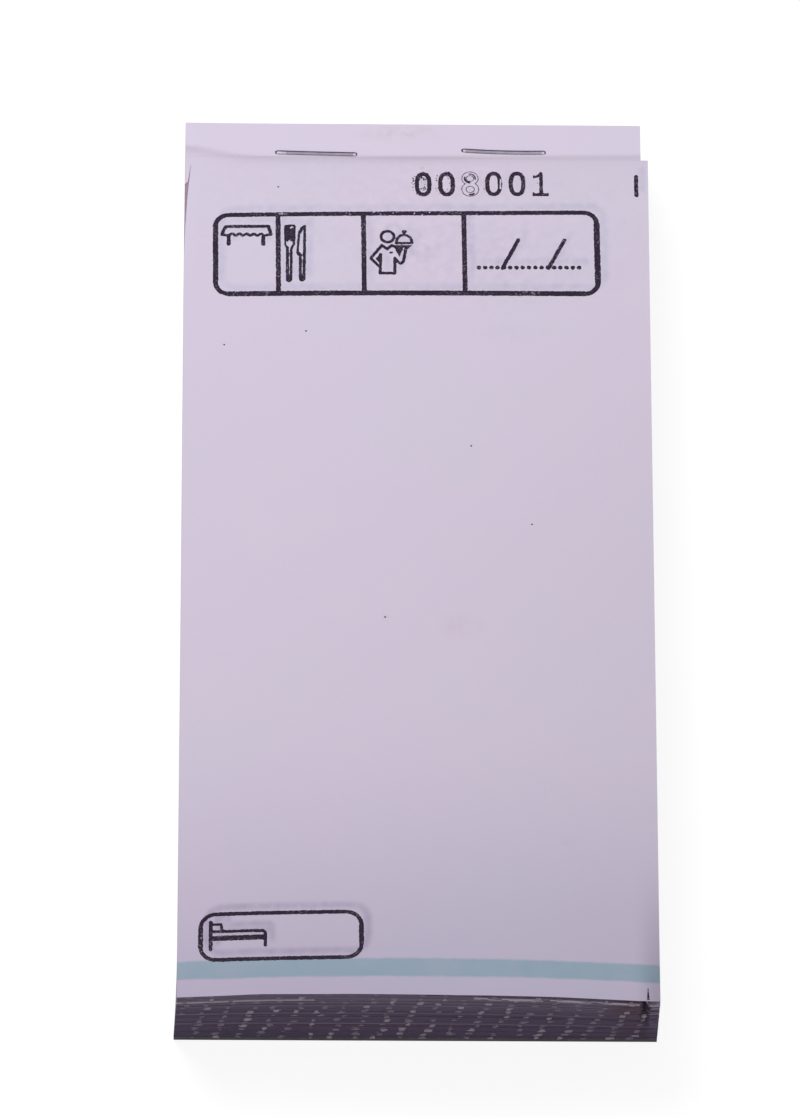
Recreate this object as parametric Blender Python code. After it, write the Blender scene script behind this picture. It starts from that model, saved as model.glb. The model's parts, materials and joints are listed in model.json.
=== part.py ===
"""Triplicate order pad: numbered sets of three sheets, stapled to a back card.

The pad lies on its card with the stapled end towards +Y and its face towards
+Z. The origin is in the middle of the card's underside. Every sheet is a stub,
held by the staples, and a leaf that folds up and over along the perforation.
The upper two sets are made sheet by sheet, and the sets below them in blocks.
"""

import math

import bmesh
import bpy
from mathutils import Matrix, Vector

# Outline of the pad, in metres
PAD_WIDTH = 0.0700
PAD_LENGTH = 0.1500
STUB_DEPTH = 0.0063
STUB_TRIM = 0.0011
PERFORATION_GAP = 0.0003

# Thickness of the paper, and the air between two sheets
SHEET_THICKNESS = 0.000058
AIR_AT_STAPLES = 0.000010
AIR_AT_CORNERS = 0.000020
AIR_AT_MIDDLE = 0.000032
LOFT_POWER = 1.5
SEAT_GAP = 0.00001

# How the sheets are grouped, counted from the face of the pad
COPIES = ("original", "duplicate", "triplicate")
LOOSE_SETS = 2
SETS_PER_BLOCK = 3
FRONT_BLOCKS = 4
MIDDLE_BLOCKS = 6
BACK_BLOCKS = 6

# Back card
CARD_THICKNESS = 0.0009

# Staples
WIRE_DIAMETER = 0.0005
STAPLE_CROWN = 0.0125
STAPLE_PITCH = 0.0283
STAPLE_OFFSET = -0.0008
LEFT_STAPLE_TO_FOLD = 0.0010
RIGHT_STAPLE_TO_FOLD = 0.0014
CLINCH_LENGTH = 0.0034
WIRE_BEND_RADIUS = 0.0005
WIRE_CLEARANCE = 0.0001
CROWN_GAP = 0.00005

# The fold stands a little above the paper, so a turned leaf clears the staples
FOLD_RISE = 0.0003

# Fineness of the meshes
LEAF_COLUMNS = 6
LEAF_ROWS = 5
BEND_STEPS = 4
WIRE_BEVEL_RESOLUTION = 2
HOLE_SIDES = 12
CUTTER_OVERRUN = 0.0010

# Values worked out from the sizes above
HALF_WIDTH = PAD_WIDTH / 2
HALF_LENGTH = PAD_LENGTH / 2
STUB_RIGHT = HALF_WIDTH - STUB_TRIM
FOLD_Y = HALF_LENGTH - STUB_DEPTH
STUB_START = FOLD_Y + PERFORATION_GAP / 2
LEAF_START = FOLD_Y - PERFORATION_GAP / 2
LEAF_LENGTH = LEAF_START + HALF_LENGTH
BLOCK_SHEETS = SETS_PER_BLOCK * len(COPIES)
BLOCK_COUNT = FRONT_BLOCKS + MIDDLE_BLOCKS + BACK_BLOCKS
SET_COUNT = LOOSE_SETS + BLOCK_COUNT * SETS_PER_BLOCK
SHEET_COUNT = SET_COUNT * len(COPIES)
PAPER_BASE = CARD_THICKNESS + SEAT_GAP
WIRE_RADIUS = WIRE_DIAMETER / 2
HOLE_RADIUS = WIRE_RADIUS + WIRE_CLEARANCE


def sheet_pitch(x, y):
    """Distance from one sheet to the next, which grows towards the free end."""
    along = min(max((LEAF_START - y) / LEAF_LENGTH, 0.0), 1.0)
    loft = 1.0 - (1.0 - along) ** LOFT_POWER
    across = 1.0 - (x / HALF_WIDTH) ** 2
    free_air = AIR_AT_CORNERS + (AIR_AT_MIDDLE - AIR_AT_CORNERS) * across
    air = AIR_AT_STAPLES + (free_air - AIR_AT_STAPLES) * loft
    return SHEET_THICKNESS + air


def sheet_floor(x, y, sheet):
    """Height of the underside of a sheet, counted from 0 on the card."""
    return PAPER_BASE + sheet * sheet_pitch(x, y)


STUB_TOP = sheet_floor(0.0, HALF_LENGTH, SHEET_COUNT - 1) + SHEET_THICKNESS
FOLD_Z = STUB_TOP + FOLD_RISE


def clear_scene():
    for scene_object in list(bpy.data.objects):
        bpy.data.objects.remove(scene_object, do_unlink=True)


def make_material(name, colour, roughness, metallic=0.0):
    material = bpy.data.materials.new(name)
    material.use_nodes = True
    shader = material.node_tree.nodes["Principled BSDF"]
    shader.inputs["Base Color"].default_value = (*colour, 1.0)
    shader.inputs["Roughness"].default_value = roughness
    shader.inputs["Metallic"].default_value = metallic
    return material


def place_object(name, data, material, parent=None):
    new_object = bpy.data.objects.new(name, data)
    bpy.context.scene.collection.objects.link(new_object)
    if material is not None:
        data.materials.append(material)
    if parent is not None:
        new_object.parent = parent
    return new_object


def even_steps(start, end, count):
    return [start + (end - start) * step / count for step in range(count + 1)]


def layered_solid(name, columns, rows, has_cell, first_sheet, last_sheet, origin):
    """Closed mesh over a lattice of cells, from one sheet's floor to another's top.

    Upper and lower faces share one diagonal in each cell, so that curved sheets nest.
    """
    mesh_data = bmesh.new()
    layers = {}

    def lattice_vertex(column, row, is_top):
        key = (column, row, is_top)
        if key not in layers:
            x, y = columns[column], rows[row]
            if is_top:
                z = sheet_floor(x, y, last_sheet) + SHEET_THICKNESS
            else:
                z = sheet_floor(x, y, first_sheet)
            layers[key] = mesh_data.verts.new(Vector((x, y, z)) - origin)
        return layers[key]

    def add_face(corners):
        mesh_data.faces.new([lattice_vertex(*corner) for corner in corners])

    for column in range(len(columns) - 1):
        for row in range(len(rows) - 1):
            if not has_cell(column, row):
                continue
            ring = [(column, row), (column + 1, row), (column + 1, row + 1), (column, row + 1)]
            for triangle in (ring[:3], [ring[0], *ring[2:]]):
                add_face([(*corner, True) for corner in triangle])
                add_face([(*corner, False) for corner in reversed(triangle)])
            sides = ((0, -1), (1, 0), (0, 1), (-1, 0))
            for side, (step_column, step_row) in enumerate(sides):
                if has_cell(column + step_column, row + step_row):
                    continue
                start = ring[side]
                end = ring[(side + 1) % len(ring)]
                add_face([(*start, False), (*end, False), (*end, True), (*start, True)])
    bmesh.ops.recalc_face_normals(mesh_data, faces=mesh_data.faces)
    mesh = bpy.data.meshes.new(name)
    mesh_data.to_mesh(mesh)
    mesh_data.free()
    return mesh


def leaf_columns():
    """Lattice lines across the pad, with one more where the stubs end."""
    columns = even_steps(-HALF_WIDTH, HALF_WIDTH, LEAF_COLUMNS)
    return sorted(columns + [STUB_RIGHT])


def leaf_rows():
    return even_steps(-HALF_LENGTH, LEAF_START, LEAF_ROWS)


def make_leaf(name, first_sheet, last_sheet, material, fold):
    columns, rows = leaf_columns(), leaf_rows()

    def has_cell(column, row):
        return 0 <= column < len(columns) - 1 and 0 <= row < len(rows) - 1

    mesh = layered_solid(name, columns, rows, has_cell, first_sheet, last_sheet,
                         Vector((0.0, FOLD_Y, FOLD_Z)))
    return place_object(name, mesh, material, fold)


def make_stub(name, first_sheet, last_sheet, material, holes):
    columns, rows = [-HALF_WIDTH, STUB_RIGHT], [STUB_START, HALF_LENGTH]

    def has_cell(column, row):
        return column == 0 and row == 0

    mesh = layered_solid(name, columns, rows, has_cell, first_sheet, last_sheet, Vector())
    stub = place_object(name, mesh, material)
    cut_with(stub, holes)
    return stub


def make_uncut_block(name, first_sheet, last_sheet, material, holes):
    """Block whose leaves stay down, so that its stubs and leaves are one piece."""
    columns = leaf_columns()
    rows = leaf_rows() + [STUB_START, HALF_LENGTH]
    stub_row = len(rows) - 2

    def has_cell(column, row):
        if not (0 <= column < len(columns) - 1 and 0 <= row < len(rows) - 1):
            return False
        return row < stub_row or columns[column] < STUB_RIGHT

    mesh = layered_solid(name, columns, rows, has_cell, first_sheet, last_sheet, Vector())
    block = place_object(name, mesh, material)
    cut_with(block, holes)
    return block


def box_into(mesh_data, low, high):
    centre = [(a + b) / 2 for a, b in zip(low, high)]
    size = [b - a for a, b in zip(low, high)]
    matrix = Matrix.Translation(centre) @ Matrix.Diagonal((*size, 1.0))
    bmesh.ops.create_cube(mesh_data, size=1.0, matrix=matrix)


def make_cutter(name, mesh_data):
    mesh = bpy.data.meshes.new(name)
    mesh_data.to_mesh(mesh)
    mesh_data.free()
    cutter = place_object(name, mesh, None)
    cutter.hide_render = True
    cutter.display_type = "WIRE"
    return cutter


def cut_with(target, cutter):
    modifier = target.modifiers.new("cut_" + cutter.name, "BOOLEAN")
    modifier.operation = "DIFFERENCE"
    modifier.solver = "EXACT"
    modifier.object = cutter


def staple_centres():
    """Middle of each staple's crown, as name, x and y."""
    left_x = STAPLE_OFFSET - STAPLE_PITCH / 2
    right_x = STAPLE_OFFSET + STAPLE_PITCH / 2
    return (
        ("staple_left", left_x, FOLD_Y + LEFT_STAPLE_TO_FOLD),
        ("staple_right", right_x, FOLD_Y + RIGHT_STAPLE_TO_FOLD),
    )


def leg_offset():
    return STAPLE_CROWN / 2 - WIRE_RADIUS


def make_hole_cutter():
    """One round hole for each of the four legs, through paper and card."""
    mesh_data = bmesh.new()
    depth = STUB_TOP + 2 * CUTTER_OVERRUN
    for _, x, y in staple_centres():
        for side in (-1, 1):
            centre = (x + side * leg_offset(), y, STUB_TOP / 2)
            bmesh.ops.create_cone(mesh_data, cap_ends=True, segments=HOLE_SIDES,
                                  radius1=HOLE_RADIUS, radius2=HOLE_RADIUS, depth=depth,
                                  matrix=Matrix.Translation(centre))
    return make_cutter("leg_hole_cutter", mesh_data)


def make_groove_cutter():
    """Grooves under the card that take the folded ends of the legs."""
    mesh_data = bmesh.new()
    height = CROWN_GAP + WIRE_DIAMETER + WIRE_CLEARANCE
    for _, x, y in staple_centres():
        for side in (-1, 1):
            outer = x + side * (STAPLE_CROWN / 2 + WIRE_CLEARANCE)
            inner = x + side * (STAPLE_CROWN / 2 - CLINCH_LENGTH - WIRE_CLEARANCE)
            low = (min(inner, outer), y - HOLE_RADIUS, -CUTTER_OVERRUN)
            high = (max(inner, outer), y + HOLE_RADIUS, height)
            box_into(mesh_data, low, high)
    return make_cutter("clinch_groove_cutter", mesh_data)


def make_card(material, holes, grooves):
    mesh_data = bmesh.new()
    outline = [
        (-HALF_WIDTH, -HALF_LENGTH),
        (HALF_WIDTH, -HALF_LENGTH),
        (HALF_WIDTH, FOLD_Y),
        (STUB_RIGHT, FOLD_Y),
        (STUB_RIGHT, HALF_LENGTH),
        (-HALF_WIDTH, HALF_LENGTH),
    ]
    face = mesh_data.faces.new([mesh_data.verts.new((x, y, 0.0)) for x, y in outline])
    raised = bmesh.ops.extrude_face_region(mesh_data, geom=[face])
    raised_vertices = [item for item in raised["geom"] if isinstance(item, bmesh.types.BMVert)]
    bmesh.ops.translate(mesh_data, verts=raised_vertices, vec=(0.0, 0.0, CARD_THICKNESS))
    bmesh.ops.recalc_face_normals(mesh_data, faces=mesh_data.faces)
    mesh = bpy.data.meshes.new("back_card")
    mesh_data.to_mesh(mesh)
    mesh_data.free()
    card = place_object("back_card", mesh, material)
    cut_with(card, holes)
    cut_with(card, grooves)
    return card


def rounded_path(corners, radius):
    """Points along straight runs joined by arcs, in the XZ plane."""
    path = [corners[0]]
    for before, corner, after in zip(corners, corners[1:], corners[2:]):
        incoming = (corner - before).normalized()
        outgoing = (after - corner).normalized()
        centre = corner - incoming * radius + outgoing * radius
        for step in range(BEND_STEPS + 1):
            angle = math.pi / 2 * step / BEND_STEPS
            path.append(centre - outgoing * radius * math.cos(angle)
                        + incoming * radius * math.sin(angle))
    path.append(corners[-1])
    return path


def make_staple(name, x, y, material):
    crown_z = STUB_TOP + CROWN_GAP + WIRE_RADIUS
    clinch_z = CROWN_GAP + WIRE_RADIUS
    tip = STAPLE_CROWN / 2 - CLINCH_LENGTH
    leg = leg_offset()
    corners = [
        Vector((-tip, 0.0, clinch_z)),
        Vector((-leg, 0.0, clinch_z)),
        Vector((-leg, 0.0, crown_z)),
        Vector((leg, 0.0, crown_z)),
        Vector((leg, 0.0, clinch_z)),
        Vector((tip, 0.0, clinch_z)),
    ]
    path = rounded_path(corners, WIRE_BEND_RADIUS)
    curve = bpy.data.curves.new(name, "CURVE")
    curve.dimensions = "3D"
    curve.bevel_depth = WIRE_RADIUS
    curve.bevel_resolution = WIRE_BEVEL_RESOLUTION
    curve.use_fill_caps = True
    spline = curve.splines.new("POLY")
    spline.points.add(len(path) - 1)
    for point, place in zip(spline.points, path):
        point.co = (*place, 1.0)
    staple = place_object(name, curve, material)
    staple.location = (x, y, 0.0)
    return staple


def make_fold(name, parent):
    """Empty on the perforation line that carries one moving part of the pad."""
    fold = bpy.data.objects.new(name, None)
    bpy.context.scene.collection.objects.link(fold)
    fold.parent = parent
    if parent is None:
        fold.location = (0.0, FOLD_Y, FOLD_Z)
    return fold


def make_loose_sets(paper, holes, fold_below):
    """Upper sets, lowest sheet first, each leaf with a fold of its own."""
    sheet = SHEET_COUNT - LOOSE_SETS * len(COPIES)
    fold = fold_below
    for set_number in range(LOOSE_SETS, 0, -1):
        for copy_name in reversed(COPIES):
            name = f"set_{set_number:02d}_{copy_name}"
            fold = make_fold("fold_" + name, fold)
            make_leaf(name + "_leaf", sheet, sheet, paper[copy_name], fold)
            make_stub(name + "_stub", sheet, sheet, paper[copy_name], holes)
            sheet += 1


def block_name(block):
    """Name from the numbers of the first and last set in a block."""
    first_set = SET_COUNT - (block + 1) * SETS_PER_BLOCK + 1
    last_set = first_set + SETS_PER_BLOCK - 1
    return f"sets_{first_set:02d}_to_{last_set:02d}"


def make_block_stack(paper, holes):
    """Blocks of sets from the card upwards, and the folds of the moving ones."""
    middle_fold = make_fold("fold_middle_section", None)
    front_fold = make_fold("fold_front_section", middle_fold)
    for block in range(BLOCK_COUNT):
        first_sheet = block * BLOCK_SHEETS
        last_sheet = first_sheet + BLOCK_SHEETS - 1
        name = block_name(block)
        if block < BACK_BLOCKS:
            make_uncut_block(name, first_sheet, last_sheet, paper["mixed"], holes)
            continue
        fold = middle_fold if block < BACK_BLOCKS + MIDDLE_BLOCKS else front_fold
        make_leaf(name + "_leaves", first_sheet, last_sheet, paper["mixed"], fold)
        make_stub(name + "_stubs", first_sheet, last_sheet, paper["mixed"], holes)
    return front_fold


def build():
    clear_scene()
    paper = {
        "original": make_material("white_paper", (0.80, 0.76, 0.84), 0.62),
        "duplicate": make_material("pink_paper", (0.78, 0.55, 0.62), 0.62),
        "triplicate": make_material("yellow_paper", (0.80, 0.72, 0.42), 0.62),
        "mixed": make_material("paper_edges", (0.40, 0.36, 0.42), 0.70),
    }
    card = make_material("grey_card", (0.32, 0.30, 0.27), 0.85)
    steel = make_material("staple_steel", (0.60, 0.61, 0.65), 0.28, 1.0)
    holes = make_hole_cutter()
    grooves = make_groove_cutter()
    make_card(card, holes, grooves)
    for name, x, y in staple_centres():
        make_staple(name, x, y, steel)
    front_fold = make_block_stack(paper, holes)
    make_loose_sets(paper, holes, front_fold)


build()
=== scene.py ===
"""Looks of the triplicate order pad: every sheet, the staples, the card and the print.

Sizes are in millimetres until a mesh is made. x runs across the pad, y towards the
stapled end and z up, with the origin in the middle of the card's underside. Places on
the printed form are u, from the left edge of the pad, and v, down from the fold line.
"""

import json
import math

import bmesh
import bpy
import numpy as np
from mathutils import Matrix, Vector


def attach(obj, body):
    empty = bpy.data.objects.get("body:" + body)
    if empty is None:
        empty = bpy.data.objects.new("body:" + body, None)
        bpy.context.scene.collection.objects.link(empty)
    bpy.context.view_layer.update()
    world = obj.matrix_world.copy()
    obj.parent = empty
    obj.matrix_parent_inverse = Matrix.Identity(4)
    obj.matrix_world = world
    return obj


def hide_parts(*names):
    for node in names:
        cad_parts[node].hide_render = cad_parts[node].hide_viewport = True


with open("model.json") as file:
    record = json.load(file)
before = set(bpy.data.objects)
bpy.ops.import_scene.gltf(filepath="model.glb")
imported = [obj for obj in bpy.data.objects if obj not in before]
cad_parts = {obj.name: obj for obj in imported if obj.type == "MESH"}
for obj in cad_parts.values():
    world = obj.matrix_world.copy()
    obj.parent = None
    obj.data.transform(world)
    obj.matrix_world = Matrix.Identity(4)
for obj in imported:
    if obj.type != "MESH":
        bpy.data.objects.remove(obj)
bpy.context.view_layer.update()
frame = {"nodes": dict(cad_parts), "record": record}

MM = 0.001
random = np.random.default_rng(31)

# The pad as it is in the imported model
HALF_WIDTH = 35.0
HALF_LENGTH = 75.0
FOLD_Y = 68.7
LEAF_START = 68.55
LEAF_LENGTH = LEAF_START + HALF_LENGTH
FORM_LENGTH = FOLD_Y + HALF_LENGTH
STUB_LENGTH = HALF_LENGTH - FOLD_Y
STUB_RIGHT = 33.9
SHEET_THICKNESS = 0.058
AIR_AT_STAPLES = 0.010
AIR_AT_CORNERS = 0.020
AIR_AT_MIDDLE = 0.032
LOFT_POWER = 1.5
PAPER_BASE = 0.91
SHEET_COUNT = 150
TOP_SHEET = SHEET_COUNT - 1
BLOCK_SHEETS = 9
SET_COUNT = 50
BACK_BLOCKS = 6
BLOCK_COUNT = 16
FIRST_NUMBER = 8001
WIRE_RADIUS = 0.25
CLINCH_LENGTH = 3.4
CROWN_GAP = 0.05

# Where the photograph was taken from
IMAGE_HEIGHT = 1117
CAMERA_ELEVATION = math.radians(60.09)
CAMERA_YAW = math.radians(1.91)
CAMERA_ROLL = math.radians(2.19)
CAMERA_DISTANCE = 1530.0
CAMERA_TARGET = (-2.33, 2.09, 6.0)
FOCAL_PIXELS = 10327.0
SENSOR_WIDTH = 36.0

# How the upper sheets lie
CREASE_MIDDLE = -0.10
CREASE_LEFT_RISE, CREASE_LEFT_REACH = 1.75, 5.6
CREASE_RIGHT_RISE, CREASE_RIGHT_START, CREASE_RIGHT_REACH = 0.8, 12.0, 58.0
RIDGE_HEIGHT = 0.45
RIDGE_FADE = 0.88
RIDGE_NEAR_REACH = 9.0
RIDGE_FAR_REACH = 6.2
RIDGE_ROUNDING = 0.25
RIDGE_LIP_REACH = 0.55
HALF_GAP = 0.002
RAISED_SHEETS = 42
END_LIFT = 0.60
WAVE_HEIGHT = 0.022

# Heights of the printed layers above their sheet
TOP_INK_HEIGHT = 0.012
LOWER_INK_HEIGHT = 0.006
MARK_HEIGHT = 0.004
LAYER_DEPTH = 0.012
FAR = 9.0
REACH = 1.3


# Shape of the stack

def sheet_pitch(x, y):
    """Distance from one sheet to the next, which grows towards the free end."""
    along = np.clip((LEAF_START - y) / LEAF_LENGTH, 0.0, 1.0)
    loft = 1.0 - (1.0 - along) ** LOFT_POWER
    across = 1.0 - (x / HALF_WIDTH) ** 2
    free_air = AIR_AT_CORNERS + (AIR_AT_MIDDLE - AIR_AT_CORNERS) * across
    return SHEET_THICKNESS + AIR_AT_STAPLES + (free_air - AIR_AT_STAPLES) * loft


def crease_line(u):
    """How far down the form the crease of the upper sheets runs."""
    at_left = np.exp(-(u / CREASE_LEFT_REACH) ** 2)
    to_right = np.clip((u - CREASE_RIGHT_START) / CREASE_RIGHT_REACH, 0.0, 1.0) ** 1.3
    return CREASE_MIDDLE - CREASE_LEFT_RISE * at_left - CREASE_RIGHT_RISE * to_right


def ridge(x, y):
    """Rise of the topmost sheet along its crease."""
    away = FOLD_Y - y - crease_line(x + HALF_WIDTH)
    rounded = np.sqrt(away ** 2 + RIDGE_ROUNDING ** 2) - RIDGE_ROUNDING
    sharpness = np.interp(x, (-35, -21, -11, 1, 12, 35), (0.54, 0.60, 0.60, 0.86, 0.50, 0.40))
    lip = sharpness * np.exp(-rounded / RIDGE_LIP_REACH)
    near = (1.0 - sharpness) * np.clip(1.0 - rounded / RIDGE_NEAR_REACH, 0.0, 1.0) ** 2
    far = np.clip(1.0 - rounded / RIDGE_FAR_REACH, 0.0, 1.0) ** 1.2
    return RIDGE_HEIGHT * np.where(away > 0, lip + near, far)


def loose_wave(x, y):
    """Gentle unevenness of the topmost leaf, which never dips into the one below."""
    wave = 2.0 + np.sin(x / 7.3 + y / 19.0) + np.sin(y / 11.5 - x / 16.0 + 1.3)
    from_fold = np.clip((FOLD_Y - y) / 10.0, 0.0, 1.0)
    near_end = np.clip(1.0 - (y + HALF_LENGTH) / 14.0, 0.0, 1.0) ** 2
    right_part = np.interp(x, (-14.0, 0.0, 6.0, 11.0, 35.0), (0.0, 0.33, 0.45, 0.85, 1.0))
    return WAVE_HEIGHT * wave * from_fold + END_LIFT * near_end * right_part


def sheet_floor(x, y, sheet):
    """Height of the underside of a sheet, counted from 0 on the card."""
    floor = PAPER_BASE + sheet * sheet_pitch(x, y)
    depth = TOP_SHEET - sheet
    if depth < RAISED_SHEETS:
        floor = floor + ridge(x, y) * RIDGE_FADE ** depth
    if depth == 0:
        floor = floor + loose_wave(x, y)
    return floor


# Meshes

SHARP_ANGLE = math.radians(32.0)


def new_object(name, data):
    made = bpy.data.objects.new(name, data)
    bpy.context.scene.collection.objects.link(made)
    return made


class Parts:
    """Closed solids that are gathered into one mesh."""

    def __init__(self):
        self.points, self.faces, self.kinds, self.tints, self.count = [], [], [], [], 0

    def add(self, points, faces, kinds, tints=None):
        self.points.append(np.asarray(points, float))
        self.faces.extend([[index + self.count for index in face] for face in faces])
        self.kinds.extend(kinds)
        if tints is not None:
            self.tints.append(tints)
        self.count += len(points)

    def piece(self, name, materials, body, replaced=()):
        mesh = bpy.data.meshes.new(name)
        mesh.from_pydata((np.concatenate(self.points) * MM).tolist(), [], self.faces)
        for material in materials:
            mesh.materials.append(material)
        mesh.polygons.foreach_set("material_index", self.kinds)
        mesh.polygons.foreach_set("use_smooth", [True] * len(self.faces))
        if self.tints:
            layer = mesh.color_attributes.new(name="tint", type="FLOAT_COLOR", domain="POINT")
            colours = np.concatenate(self.tints)
            opaque = np.ones((len(colours), 1))
            layer.data.foreach_set("color", np.hstack([colours, opaque]).ravel())
        mesh.update()
        mesh.set_sharp_from_angle(angle=SHARP_ANGLE)
        made = new_object(name, mesh)
        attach(made, body)
        if replaced:
            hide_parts(*replaced)


def add_slab(parts, x, y, low, high, face_kind, end_kind, edge_kind, border_kind=None):
    """A thin closed slab over a lattice whose first row is its near end.

    With a border kind, the first row of its faces takes that, and the first and last columns that of
    the side edges. These strips on a sheet's faces are painted shade, where the sheets above shade it.
    """
    rows, columns = x.shape
    size = rows * columns
    points = np.empty((2 * size, 3))
    for layer, z in enumerate((low, high)):
        part = points[layer * size:(layer + 1) * size]
        part[:, 0], part[:, 1], part[:, 2] = x.ravel(), y.ravel(), z.ravel()
    number = np.arange(size).reshape(rows, columns)

    def strip(line):
        start, end = line[:-1], line[1:]
        return np.stack([start, end, end + size, start + size], 1).tolist()

    cells = np.stack([number[:-1, :-1], number[:-1, 1:], number[1:, 1:], number[1:, :-1]], -1)
    cells = cells.reshape(-1, 4)
    faces = (cells + size).tolist() + cells[:, ::-1].tolist()
    near = strip(number[0])
    others = strip(number[:, -1]) + strip(number[-1, ::-1]) + strip(number[::-1, 0])
    cell_kinds = np.full((rows - 1, columns - 1), face_kind)
    if border_kind is not None:
        cell_kinds[:, [0, -1]] = edge_kind
        cell_kinds[0] = border_kind
    kinds = cell_kinds.ravel().tolist() * 2
    kinds += np.broadcast_to(end_kind, len(near)).tolist() + [edge_kind] * len(others)
    parts.add(points, faces + near + others, kinds)


# Materials

def new_material(name):
    material = bpy.data.materials.new(name)
    material.use_nodes = True
    return material, material.node_tree


def node(tree, kind, values=(), **settings):
    """A shader node. Each value is a number or colour, or another node's output."""
    made = tree.nodes.new("ShaderNode" + kind)
    for key, value in settings.items():
        setattr(made, key, value)
    for key, value in dict(values).items():
        if isinstance(value, bpy.types.NodeSocket):
            tree.links.new(value, made.inputs[key])
        else:
            made.inputs[key].default_value = value
    return made


def object_place(tree, scale=(1.0, 1.0, 1.0)):
    place = node(tree, "TexCoord").outputs["Object"]
    return node(tree, "Mapping", {"Vector": place, "Scale": scale}).outputs["Vector"]


def axes_in_mm(tree):
    place = object_place(tree, (1.0 / MM, 1.0 / MM, 1.0 / MM))
    return node(tree, "SeparateXYZ", {"Vector": place}).outputs


def noise(tree, scale, detail=2.0, roughness=0.5, distortion=0.0, stretch=(1.0, 1.0, 1.0)):
    values = {"Vector": object_place(tree, stretch), "Scale": scale, "Detail": detail,
              "Roughness": roughness, "Distortion": distortion}
    return node(tree, "TexNoise", values).outputs["Fac"]


def fitted(tree, value, start, end, low=0.0, high=1.0, smooth=False):
    values = {"Value": value, "From Min": start, "From Max": end, "To Min": low, "To Max": high}
    kind = "SMOOTHSTEP" if smooth else "LINEAR"
    return node(tree, "MapRange", values, interpolation_type=kind).outputs["Result"]


def spread(tree, value, low, high):
    """Stretch a noise, which mostly runs from 0.3 to 0.7, over a range."""
    return fitted(tree, value, 0.3, 0.7, low, high)


def maths(tree, operation, a, b):
    return node(tree, "Math", {0: a, 1: b}, operation=operation).outputs[0]


def product(tree, value, *others):
    for other in others:
        value = maths(tree, "MULTIPLY", value, other)
    return value


def mixed(tree, share, a, b, blend="MIX"):
    values = {0: share, 6: a, 7: b}
    return node(tree, "Mix", values, data_type="RGBA", blend_type=blend).outputs[2]


def grey(value):
    return (value, value, value, 1.0)


def finish_surface(tree, colour, roughness, specular, relief, strength, depth):
    """Link what a material's shader shows."""
    inputs = tree.nodes["Principled BSDF"].inputs
    bump = node(tree, "Bump", {"Height": relief, "Strength": strength, "Distance": depth * MM})
    tree.links.new(colour, inputs["Base Color"])
    tree.links.new(roughness, inputs["Roughness"])
    tree.links.new(bump.outputs["Normal"], inputs["Normal"])
    inputs["Specular IOR Level"].default_value = specular


def paper_material(name, warm, cool, tinted=False):
    """Matt paper with faint clouds, fibres and the coloured band at the foot of the form. Its colour
    also holds painted shade: darker and bluer towards the near end, and darker by the right edge
    there.
    """
    material, tree = new_material(name)
    clouds = fitted(tree, noise(tree, 48.0, 3.0, 0.55), 0.36, 0.64)
    colour = mixed(tree, clouds, (*warm, 1.0), (*cool, 1.0))
    fibres = noise(tree, 2400.0, 4.0, 0.7)
    axes = axes_in_mm(tree)
    # Painted shade: darker and bluer towards the near end, standing for the light falling off there
    near_end_shade = fitted(tree, axes["Y"], NEAR_END_SHADE_START, NEAR_END_SHADE_STOP, 1.0, NEAR_END_SHADE_LEVEL, True)
    near_end_shade_blue = fitted(tree, axes["Y"], NEAR_END_SHADE_START, NEAR_END_SHADE_STOP, 1.0, NEAR_END_SHADE_BLUE, True)
    # Painted shade: darker by the right edge towards the near end, where the leaf curls down away from
    # the light
    right_edge_shade = product(tree, fitted(tree, axes["Y"], RIGHT_EDGE_SHADE_START, -HALF_LENGTH, smooth=True),
                   fitted(tree, axes["X"], RIGHT_EDGE_SHADE_INNER, HALF_WIDTH, 0.0, 1.0 - RIGHT_EDGE_SHADE_LEVEL, True))
    shade = product(tree, spread(tree, fibres, 0.985, 1.01), near_end_shade,
                    maths(tree, "SUBTRACT", 1.0, right_edge_shade))
    shades = {0: shade, 1: shade, 2: product(tree, shade, near_end_shade_blue)}
    colour = mixed(tree, 1.0, colour, node(tree, "CombineColor", shades).outputs[0], "MULTIPLY")
    ragged = fitted(tree, noise(tree, 420.0, 3.0, 0.6), 0.0, 1.0, -BAND_RAGGED, BAND_RAGGED)
    edge = maths(tree, "ADD", axes["Y"], ragged)
    band = product(tree, fitted(tree, edge, BAND_TOP, BAND_TOP - BAND_SOFTNESS, smooth=True),
                   fitted(tree, edge, BAND_FOOT, BAND_FOOT + BAND_SOFTNESS, smooth=True),
                   spread(tree, noise(tree, 150.0, 3.0, 0.6), 0.78, 1.0))
    colour = mixed(tree, band, colour, (*TEAL, 1.0), "MULTIPLY")
    if tinted:
        tint = node(tree, "Attribute", attribute_name="tint").outputs["Color"]
        colour = mixed(tree, 1.0, colour, tint, "MULTIPLY")
    roughness = spread(tree, fibres, 0.68, 0.80)
    finish_surface(tree, colour, roughness, 0.12, fibres, 0.10, 0.03)
    return material


def ink_material():
    """Dark ink with pale flecks where the paper took none."""
    material, tree = new_material("form_ink")
    flecks = fitted(tree, noise(tree, 3600.0, 2.0, 0.6), 0.55, 0.68, 0.0, 0.62)
    patches = fitted(tree, noise(tree, 260.0, 2.0, 0.5), 0.40, 0.64, 0.10, 1.0)
    share = product(tree, flecks, patches)
    colour = mixed(tree, share, (*INK_COLOUR, 1.0), (*FLECK_COLOUR, 1.0))
    roughness = fitted(tree, flecks, 0.0, 0.5, 0.70, 0.85)
    finish_surface(tree, colour, roughness, 0.05, noise(tree, 5200.0), 0.25, 0.02)
    return material


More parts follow.
